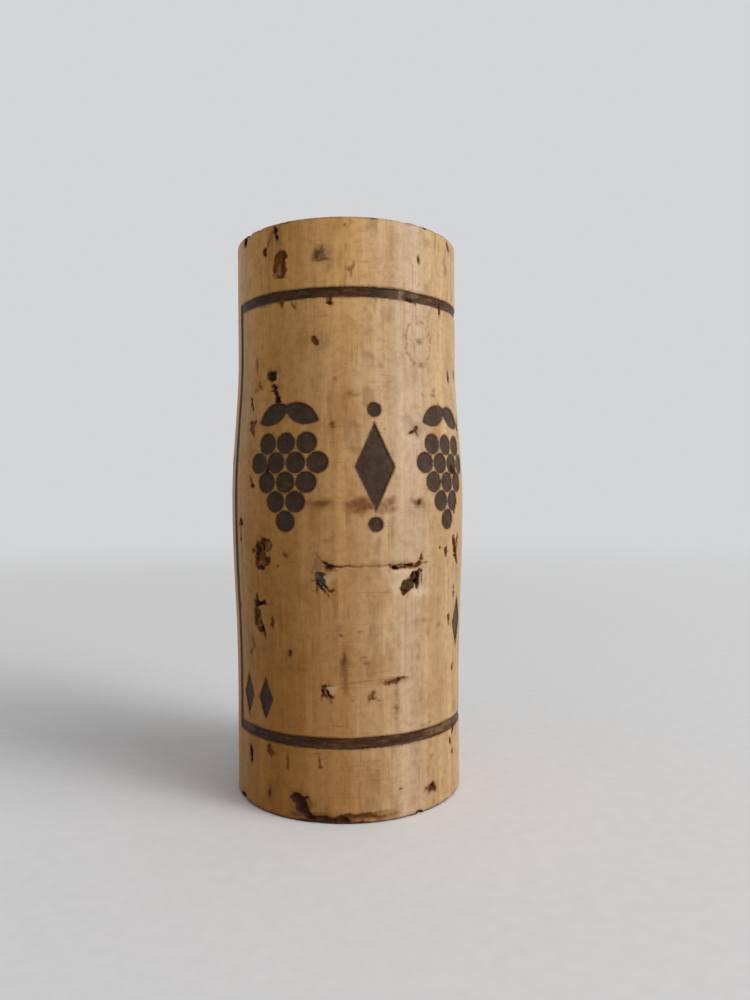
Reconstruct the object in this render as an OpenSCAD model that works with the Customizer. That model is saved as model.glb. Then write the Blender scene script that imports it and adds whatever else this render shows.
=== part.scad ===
// Natural wine cork, drawn from the bottle and standing on its lower end.
// One turned plug of cork: straight ends, a swollen middle, a burnt-in frame
// with ornaments, and the open pores that run through the cork.
// Angles go round the plug from the front (-Y) towards the right (+X).

/* [Body] */
// Length from end to end
body_h = 54; // [46:0.5:60]
// Diameter of the lower straight stretch
bottom_d = 22.6; // [21:0.1:24.5]
// Diameter of the upper straight stretch
top_d = 22.1; // [21:0.1:24.5]
// Diameter of the swollen middle
belly_d = 23.56; // [23:0.02:25.5]
// Height of the widest place above the lower end
belly_z = 28.7; // [26:0.1:31]
// Length of the lower straight stretch
lower_straight = 11; // [8:0.5:14]
// Length of the upper straight stretch
upper_straight = 11; // [8:0.5:13]
// Rounding of the worn rims
rim_r = 0.15; // [0.1:0.05:0.8]

/* [Burnt frame] */
// Depth of everything that is burnt in
brand_depth = 0.12; // [0.05:0.01:0.4]
// Width of the frame's upper line
upper_line_w = 0.9; // [0.4:0.1:1.4]
// Width of the frame's lower line
lower_line_w = 1; // [0.4:0.1:1.4]
// Width of the frame's upright lines
upright_w = 0.8; // [0.4:0.1:1.4]
// Middle of the upper line, down from the upper end
upper_line_drop = 6.7; // [5:0.1:7.5]
// Middle of the lower line, up from the lower end
lower_line_rise = 7.2; // [5:0.1:8]
// Angle of the frame's left edge
frame_start = -67; // [-90:1:-60]
// Angle that the frame goes round
frame_span = 320; // [300:1:340]

/* [Large ornaments] */
// Height of the large ornaments
motif_h = 11.5; // [10.5:0.1:12]
// Top of the large ornaments, down from the upper line
motif_drop = 9.8; // [8:0.1:11]
// Angle of the first ornament
motif_first = -29; // [-40:1:-25]
// Angle from one ornament to the next
motif_step = 41; // [38:1:44]
// How many ornaments stand in the row
motif_count = 7; // [1:1:7]
// Diameter of one grape
grape_d = 1.9; // [1.4:0.1:2.1]
// Clear space between grapes
grape_gap = 0.12; // [0.05:0.01:0.3]
// Length of a vine leaf
leaf_len = 3.6; // [2.5:0.1:4]
// Width of a vine leaf
leaf_w = 1.8; // [1:0.1:2.2]
// How far the leaves droop, in degrees
leaf_lean = 68; // [55:1:75]
// Width of the tall lozenges
lozenge_w = 3.6; // [2:0.1:4]
// Diameter of the dots above and below them
dot_d = 1.3; // [0.8:0.1:1.8]
// Clear space between a dot and its lozenge
dot_gap = 0.5; // [0.3:0.1:0.8]

/* [Small ornaments] */
// Height of the small lozenges
small_h = 5; // [3:0.1:5.5]
// Width of the small lozenges
small_w = 2.4; // [1.5:0.1:3]
// Foot of the small lozenges, up from the lower line
small_rise = 7.2; // [6:0.1:8]
// Angle of the first small lozenge
small_first = 67; // [60:1:80]
// Angle from one small lozenge to the next
small_step = 18; // [15:1:22]
// How many small lozenges there are
small_count = 4; // [1:1:5]
// Height of the corner marks
corner_h = 3.9; // [2:0.1:4.5]
// Width of the corner marks
corner_w = 1.9; // [1:0.1:2.5]
// Foot of the corner marks, up from the lower line
corner_rise = 1.4; // [1:0.1:2]
// Angle of the first corner mark
corner_first = -57; // [-60:1:-54]
// Angle from one corner mark to the next
corner_step = 14; // [11:1:18]
// How many corner marks there are
corner_count = 2; // [1:1:3]

/* [Pores and crack] */
// Share of its listed depth that each pore has
pore_depth = 1; // [0.5:0.1:1.3]
// Share of its listed width that each pore has
pore_size = 1; // [0.7:0.1:1.2]
// Height of the crack, down from the widest place
crack_drop = 5.8; // [4:0.1:7]
// Angle at which the crack starts
crack_start = -11; // [-20:1:0]
// Angle at which the crack ends
crack_end = 31; // [20:1:40]
// Opening of the crack at its middle
crack_w = 0.22; // [0.1:0.02:0.6]
// Depth of the crack
crack_depth = 0.7; // [0.2:0.1:1.5]

/* [Hidden] */
$fn = 96;

cork_colour = "#c8955a";
burnt_colour = "#3d2f2b";
pore_colour = "#4a2f1c";

swell_steps = 14;
rim_steps = 4;
upper_straight_z = body_h - upper_straight;
upper_line_z = body_h - upper_line_drop;
lower_line_z = lower_line_rise;
frame_end = frame_start + frame_span;
// How far round the frame's lines run past the middle of its uprights
line_overrun = 0.45 * upright_w / (bottom_d / 2) * 180 / PI;
motif_top_z = upper_line_z - motif_drop;
crack_z = belly_z - crack_drop;
// How far a cutting shape reaches past the skin, inwards and outwards
inside = 2;
outside = 1;

// Pores by place: [angle, height, width, tall, depth, lean]. Height is counted
// up from the lower end, from the widest place, or down from the upper end.
low_pores = [
    [-24, 1.7, 1.6, 1.7, 0.8, 10], [-18.5, 0.4, 1.1, 1.1, 0.5, 0],
    [34.5, 0.1, 0.8, 0.7, 0.3, 0], [42.5, 2.05, 1.4, 0.6, 0.4, -8],
    [-65, 0.2, 1.4, 0.8, 0.4, 0], [-55.5, 4.8, 0.5, 1.3, 0.6, 0],
    [-40, 5.8, 0.9, 0.8, 0.4, 0], [-29.8, 5.2, 0.25, 1.4, 0.4, 3],
    [-14, 5.6, 0.3, 1.3, 0.3, 8], [59, 5.5, 0.7, 0.4, 0.2, -40],
    [62, 6.6, 0.45, 1, 0.4, 10], [-10.5, 11.8, 1, 1, 0.5, 20],
    [-2, 14.3, 0.4, 1.7, 0.4, 0], [-1.6, 12.6, 0.55, 0.9, 0.4, 0],
    [21.5, 12.6, 1.6, 0.35, 0.4, 0], [62, 12.6, 0.5, 0.6, 0.4, 0],
    [-28.5, 15.2, 0.5, 0.7, 0.4, 0], [-3.5, 16.9, 0.3, 0.5, 0.3, 25],
    [-48, 18.2, 1, 2, 1, 0], [-45.5, 17, 1.1, 1.2, 0.9, 30],
    [-44.5, 19.3, 1.6, 0.45, 0.6, 0], [-38, 17.7, 0.5, 0.9, 0.5, 0],
    [56.5, 17.5, 0.5, 1, 0.4, 0],
    [96, 3.1, 0.9, 1.3, 0.6, 0], [113, 9.8, 0.7, 1.1, 0.6, 15],
    [124, 4.9, 0.5, 0.9, 0.4, 0], [88, 10.9, 0.5, 0.7, 0.4, 0],
    [152, 2.6, 0.4, 1.2, 0.4, 5], [186, 9.6, 1.8, 0.4, 0.4, 0],
    [203, 4.2, 1.3, 0.3, 0.3, 4], [171, 15.4, 0.35, 1.5, 0.4, 0],
    [236, 11.9, 0.6, 1.1, 0.5, -12], [262, 5.2, 1, 1.5, 0.7, 0],
    [279, 13.4, 0.8, 1.6, 0.8, 8], [257, 17.8, 0.5, 0.9, 0.4, 0]
];
middle_pores = [
    [-43.5, -4.2, 1.3, 1.5, 0.8, 0], [-44.5, -5.4, 1.5, 1.5, 0.9, 15],
    [-39.5, -4.6, 0.8, 1.5, 0.7, 0], [-29.5, -4.7, 0.6, 0.5, 0.3, 0],
    [-49.5, -4.6, 0.5, 0.4, 0.3, 0], [-60, -2, 1.1, 0.5, 0.5, 25],
    [-9, -5.6, 0.9, 0.5, 0.6, -20], [22, -5.8, 0.9, 0.6, 0.7, -10],
    [33.5, -5.3, 0.9, 0.5, 0.4, 20], [-12.7, -6.9, 0.7, 1.3, 0.7, 15],
    [27.5, -7.6, 1.3, 1.4, 0.9, -15], [32.8, -7, 0.55, 1.5, 1, -5],
    [52, -4.8, 0.7, 0.6, 0.3, 0], [59.5, -3.9, 0.8, 1.2, 0.6, -20],
    [62.5, -5.4, 0.8, 1.3, 0.7, 10], [33, -0.2, 0.5, 0.4, 0.3, 0],
    [59.5, -0.9, 0.4, 0.9, 0.3, 0], [60, 2.9, 1, 1.4, 0.6, 30],
    [66.5, 1.2, 0.5, 0.3, 0.4, 0], [-49, 1.6, 0.5, 0.9, 0.5, 25],
    [-39, 2.8, 0.5, 1, 0.4, 0], [-29.5, 5.3, 0.5, 0.6, 0.3, 0],
    [92, -3.1, 1.1, 1.9, 0.9, 5], [101, 1.7, 0.6, 1, 0.5, 0],
    [112, -6.3, 0.8, 1.2, 0.6, -15], [127, 3.8, 0.5, 0.6, 0.3, 0],
    [158, -1.8, 1.3, 0.35, 0.4, 0], [192, 5.2, 2, 0.4, 0.5, -3],
    [214, -4.4, 1.4, 0.3, 0.4, 0], [247, 1.9, 0.7, 1.2, 0.5, 10],
    [268, -2.6, 0.9, 1.8, 0.8, -8], [284, 4.1, 0.7, 1.1, 0.6, 0]
];
high_pores = [
    [-60, -0.7, 0.6, 1.1, 0.4, -15], [-35.5, -0.6, 0.55, 1.3, 0.6, -8],
    [-43.5, -2.3, 0.6, 0.9, 0.4, 0], [-33.5, -3.9, 1.6, 2.1, 0.6, -10],
    [-12.5, -3.3, 1.1, 1.1, 0.3, 0], [2, -4.6, 0.25, 1.2, 0.3, 5],
    [37, -3.3, 0.35, 0.8, 0.3, 0], [-8, -7.2, 0.7, 0.9, 0.5, 0],
    [31.5, -7, 1, 0.6, 0.3, 0], [-15, -10.9, 0.9, 0.8, 0.3, 0],
    [-50.5, -12.7, 0.6, 0.6, 0.3, 0], [60.5, -13.6, 0.8, 0.4, 0.3, -30],
    [-38.5, -13.8, 0.9, 1, 0.7, 10], [-36.5, -15, 1, 0.8, 0.7, -25],
    [-34, -15.9, 0.6, 0.9, 0.6, -15], [-46.5, -14.8, 1.1, 0.5, 0.4, -20],
    [-52.3, -16.2, 0.35, 1.3, 0.4, -25], [-51.5, -18.4, 1.1, 0.8, 0.5, 0],
    [32, -18.9, 0.8, 0.4, 0.3, 20],
    [99, -3.4, 0.9, 1.4, 0.7, 5], [109, -10.8, 0.7, 1.2, 0.6, 0],
    [85, -15.2, 0.6, 0.9, 0.5, 12], [133, -1.4, 0.5, 0.9, 0.4, 0],
    [166, -9.7, 1.5, 0.35, 0.4, 2], [181, -4.1, 0.3, 1.3, 0.3, 0],
    [209, -13.2, 1.7, 0.4, 0.4, -4], [228, -2.9, 0.6, 1, 0.4, 0],
    [259, -9.9, 0.8, 1.7, 0.7, 6], [276, -3.8, 0.7, 1.2, 0.6, 0]
];
// Pores that open on the flat ends: [across, along, length, width, depth]
end_pores = [
    [-6.2, 2.4, 2.6, 0.5, 0.8], [-1.4, -3.6, 3.4, 0.4, 0.7],
    [3.8, 4.9, 2.2, 0.5, 0.8], [5.6, -1.1, 1.6, 0.6, 0.9],
    [-3.2, 6.8, 1.4, 0.4, 0.6], [1.6, -7.4, 2, 0.5, 0.7]
];
// The crack's parts from left to right: [share of its opening, rise]
crack_shape = [[2.4, 0.05], [1.1, 0], [0.8, 0.03], [1.4, -0.02], [2.2, 0.04]];
// How far the parts run into each other, in degrees
crack_overlap = 0.4;
// The way that the growth layers cross the plug
layer_angle = 13;
pore_sides = 9;
// Share of the width and of the depth at each step of a pore
pore_steps = [[1, 0.55], [0.6, 1]];

// Rises smoothly from 0 to 1
function ease(t) = (1 - cos(180 * t)) / 2;

// Radius of the plug at a height
function radius_at(z) =
    z <= lower_straight ? bottom_d / 2
    : z <= belly_z ? bottom_d / 2 + (belly_d - bottom_d) / 2
        * ease((z - lower_straight) / (belly_z - lower_straight))
    : z <= upper_straight_z ? top_d / 2 + (belly_d - top_d) / 2
        * ease((upper_straight_z - z) / (upper_straight_z - belly_z))
    : top_d / 2;

// A pore's edge strays from an oval by this factor
function stray(a, seed) =
    1 + 0.16 * sin(2 * a + 47 * seed) + 0.12 * sin(3 * a + 91 * seed)
    + 0.07 * sin(5 * a + 23 * seed);

// The plug, less a layer of the given thickness on its side
module plug(less = 0) {
    swell = [for (i = [0 : swell_steps])
        lower_straight + (belly_z - lower_straight) * i / swell_steps];
    shrink = [for (i = [1 : swell_steps])
        belly_z + (upper_straight_z - belly_z) * i / swell_steps];
    lower_rim = [for (i = [0 : rim_steps])
        let (a = 90 * i / rim_steps)
        [bottom_d / 2 - less - rim_r * (1 - sin(a)), rim_r * (1 - cos(a))]];
    upper_rim = [for (i = [0 : rim_steps])
        let (a = 90 * i / rim_steps)
        [top_d / 2 - less - rim_r * (1 - cos(a)), body_h - rim_r * (1 - sin(a))]];
    side = [for (z = concat(swell, shrink)) [radius_at(z) - less, z]];
    rotate_extrude()
        polygon(concat([[0, 0]], lower_rim, side, upper_rim, [[0, body_h]]));
}

// Stands a flat drawing up round the plug and pushes it in through its skin
module on_side(angle, z) {
    rotate([0, 0, angle])
        translate([0, -bottom_d / 2 + inside, z])
            rotate([90, 0, 0])
                linear_extrude(height = belly_d / 2 - bottom_d / 2 + inside + outside)
                    children();
}

module lozenge(w, h) {
    polygon([[-w / 2, h / 2], [0, 0], [w / 2, h / 2], [0, h]]);
}

module leaf() {
    // Two arcs that meet at the points of the leaf
    arc_r = (leaf_len * leaf_len + leaf_w * leaf_w) / (4 * leaf_w);
    shift = arc_r - leaf_w / 2;
    intersection() {
        translate([-shift, 0])
            circle(r = arc_r);
        translate([shift, 0])
            circle(r = arc_r);
    }
}

// Grapes in rows, point down, under two leaves
module grape_bunch() {
    pitch = grape_d + grape_gap;
    row_pitch = pitch * sin(60);
    rows = [1, 2, 3, 4, 3];
    for (row = [0 : len(rows) - 1])
        for (i = [0 : rows[row] - 1])
            translate([(i - (rows[row] - 1) / 2) * pitch, grape_d / 2 + row * row_pitch])
                circle(d = grape_d);
    for (side = [-1, 1])
        translate([side * leaf_len * 0.4, motif_h - leaf_w / 2])
            rotate([0, 0, side * leaf_lean])
                leaf();
}

// A tall lozenge between two dots
module tall_lozenge() {
    translate([0, dot_d + dot_gap])
        lozenge(lozenge_w, motif_h - 2 * (dot_d + dot_gap));
    for (z = [dot_d / 2, motif_h - dot_d / 2])
        translate([0, z])
            circle(d = dot_d);
}

module frame_line(z, w) {
    rotate([0, 0, frame_start - line_overrun - 90])
        rotate_extrude(angle = frame_span + 2 * line_overrun)
            translate([bottom_d / 2 - inside, z - w / 2])
                square([inside + outside, w]);
}

module brand() {
    frame_line(upper_line_z, upper_line_w);
    frame_line(lower_line_z, lower_line_w);
    for (angle = [frame_start, frame_end])
        on_side(angle, lower_line_z)
            translate([-upright_w / 2, 0])
                square([upright_w, upper_line_z - lower_line_z]);
    for (i = [0 : motif_count - 1])
        on_side(motif_first + i * motif_step, motif_top_z - motif_h)
            if (i % 2 == 0)
                grape_bunch();
            else
                tall_lozenge();
    for (i = [0 : small_count - 1])
        on_side(small_first + i * small_step, lower_line_z + small_rise)
            lozenge(small_w, small_h);
    for (i = [0 : corner_count - 1])
        on_side(corner_first + i * corner_step, lower_line_z + corner_rise)
            lozenge(corner_w, corner_h);
}

// An uneven pocket round the Y axis with its mouth towards -Y. It steps in
// once on the way down, as the harder wall of a pore does.
module pocket(w, h, depth, seed) {
    for (step = pore_steps)
        translate([0, step[1] * depth, 0])
            rotate([90, 0, 0])
                linear_extrude(height = step[1] * depth + outside)
                    polygon([for (i = [0 : pore_sides - 1])
                        let (a = i * 360 / pore_sides, s = step[0] * stray(a, seed) / 2)
                        [s * w * cos(a), s * h * sin(a)]]);
}

module side_pore(angle, z, w, h, depth, lean, seed) {
    rotate([0, 0, angle])
        translate([0, -radius_at(z), z])
            rotate([0, lean, 0])
                pocket(w * pore_size, h * pore_size, depth * pore_depth, seed);
}

module side_pores() {
    for (i = [0 : len(low_pores) - 1])
        let (p = low_pores[i])
        side_pore(p[0], p[1], p[2], p[3], p[4], p[5], i);
    for (i = [0 : len(middle_pores) - 1])
        let (p = middle_pores[i])
        side_pore(p[0], belly_z + p[1], p[2], p[3], p[4], p[5], i + 50);
    for (i = [0 : len(high_pores) - 1])
        let (p = high_pores[i])
        side_pore(p[0], body_h + p[1], p[2], p[3], p[4], p[5], i + 90);
}

module end_pore(p, z, up, seed) {
    translate([p[0], p[1], z])
        rotate([up * -90, 0, 0])
            pocket(p[2], p[3], p[4] * pore_depth, seed);
}

module end_pores() {
    rotate([0, 0, layer_angle])
        for (i = [0 : len(end_pores) - 1]) {
            end_pore(end_pores[i], body_h, 1, i);
            mirror([1, 0, 0])
                end_pore(end_pores[i], 0, -1, i + 20);
        }
}

// The crack is a chain of short grooves at slightly different heights, wide at
// both ends and narrow between them
module crack() {
    parts = len(crack_shape);
    part_angle = (crack_end - crack_start) / parts;
    for (i = [0 : parts - 1])
        let (opening = crack_w * crack_shape[i][0])
        rotate([0, 0, crack_start + i * part_angle - 90 - crack_overlap])
            rotate_extrude(angle = part_angle + 2 * crack_overlap)
                translate([radius_at(crack_z) - crack_depth, crack_z + crack_shape[i][1]])
                    polygon([[0, 0], [crack_depth + outside, -opening / 2],
                        [crack_depth + outside, opening / 2]]);
}

module cork() {
    difference() {
        color(cork_colour)
            plug();
        color(burnt_colour)
            difference() {
                brand();
                plug(brand_depth);
            }
        color(pore_colour) {
            side_pores();
            crack();
            end_pores();
        }
    }
}

cork();
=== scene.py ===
"""The looks of a natural wine cork that stands on end: its skin with pores, stains,
a burnt-in frame and ornaments, on a pale floor under soft light.

Sizes are millimetres until a mesh or a lamp is made. A place on the cork is an angle in
degrees, from the front (-Y) towards the right (+X), and a height above the lower end.
"""

import math

import bpy
import numpy as np
from mathutils import Matrix, Vector


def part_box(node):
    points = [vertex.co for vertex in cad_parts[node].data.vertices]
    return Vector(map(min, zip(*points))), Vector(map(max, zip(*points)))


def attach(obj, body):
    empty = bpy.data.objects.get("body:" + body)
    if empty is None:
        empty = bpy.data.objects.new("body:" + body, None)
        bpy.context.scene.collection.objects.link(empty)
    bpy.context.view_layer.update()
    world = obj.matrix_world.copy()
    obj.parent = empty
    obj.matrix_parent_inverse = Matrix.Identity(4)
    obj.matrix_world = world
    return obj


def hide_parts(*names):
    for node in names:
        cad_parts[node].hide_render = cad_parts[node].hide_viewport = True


MM = 0.001

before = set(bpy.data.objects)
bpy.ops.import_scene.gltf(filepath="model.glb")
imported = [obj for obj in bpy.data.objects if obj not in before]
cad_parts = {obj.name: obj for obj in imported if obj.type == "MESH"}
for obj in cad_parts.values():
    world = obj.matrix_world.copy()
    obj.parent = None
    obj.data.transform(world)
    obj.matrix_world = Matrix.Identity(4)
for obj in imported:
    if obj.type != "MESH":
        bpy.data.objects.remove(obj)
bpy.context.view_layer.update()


# ---- Sizes of the cork

LOWEST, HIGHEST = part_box("cork")
BODY_H = HIGHEST.z / MM
BELLY_R = min(HIGHEST.x, -LOWEST.x, HIGHEST.y, -LOWEST.y) / MM
BOTTOM_R = 11.3
TOP_R = 11.05
BELLY_Z = 28.7
LOWER_STRAIGHT_Z = 11.0
UPPER_STRAIGHT_Z = BODY_H - 11.0
RIM_R = 0.15

# The radius at which an angle round the cork is turned into a width, and back
MEAN_R = 11.4

# The burnt-in frame and its ornaments
BRAND_DEPTH = 0.1
UPPER_LINE_Z, UPPER_LINE_W = 47.3, 0.9
LOWER_LINE_Z, LOWER_LINE_W = 7.2, 1.0
UPRIGHT_W = 0.8
FRAME_START, FRAME_SPAN = -67.0, 320.0
FRAME_MIDDLE = (UPPER_LINE_Z + LOWER_LINE_Z) / 2
FRAME_HALF = (UPPER_LINE_Z - LOWER_LINE_Z) / 2
MOTIF_H, MOTIF_W, MOTIF_TOP_Z = 11.5, 9.2, 37.5
MOTIF_FIRST, MOTIF_STEP, MOTIF_COUNT = -29.0, 41.0, 7
GRAPE_D, GRAPE_GAP = 1.9, 0.12
GRAPE_ROWS = (1, 2, 3, 4, 3)
LEAF_LEN, LEAF_W, LEAF_LEAN = 3.6, 1.8, 68.0
LEAF_X = 0.4 * LEAF_LEN
LOZENGE_W, DOT_D, DOT_GAP = 3.6, 1.3, 0.5
SMALL_H, SMALL_W, SMALL_Z = 5.0, 2.4, 14.4
SMALL_FIRST, SMALL_STEP, SMALL_COUNT = 67.0, 18.0, 4
CORNER_H, CORNER_W, CORNER_Z = 3.9, 1.9, 8.6
CORNER_ANGLES = (-57.0, -43.0)

# How far round a line, an upright and an ornament the distance to it is kept
LINE_REACH, UPRIGHT_REACH, STAMP_REACH = 0.9, 1.0, 0.8

# How far the frame's lines stray from straight
LINE_WOBBLE = 0.05

# Within this distance of a burnt edge the lattice is fine
EDGE_REACH = 0.075

# The direction across the growth layers, as an angle round the cork
LAYER_ANGLE = 103.0


# ---- Pores and stains

# Tints, as linear colours
BLACK = (0.014, 0.01, 0.006)
DARK = (0.046, 0.018, 0.005)
FUME = (0.135, 0.062, 0.02)
UMBER = (0.13, 0.046, 0.008)
BROWN = (0.2, 0.072, 0.014)
CHESTNUT = (0.31, 0.13, 0.048)
TAN = (0.34, 0.19, 0.085)
RUST = (0.29, 0.075, 0.01)
MAROON = (0.055, 0.022, 0.015)
WINE = (0.18, 0.062, 0.028)
ROSE = (0.3, 0.115, 0.045)
GREY = (0.24, 0.152, 0.075)
SLATE = (0.125, 0.13, 0.11)
SOOT = (0.098, 0.058, 0.026)
OLIVE = (0.115, 0.075, 0.03)
# pale skin; where it is laid between about 21° and 36° round the cork, in the lamp's band, it is a
# painted highlight
PALE_AND_HIGHLIGHT = (0.7, 0.54, 0.36)

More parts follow.
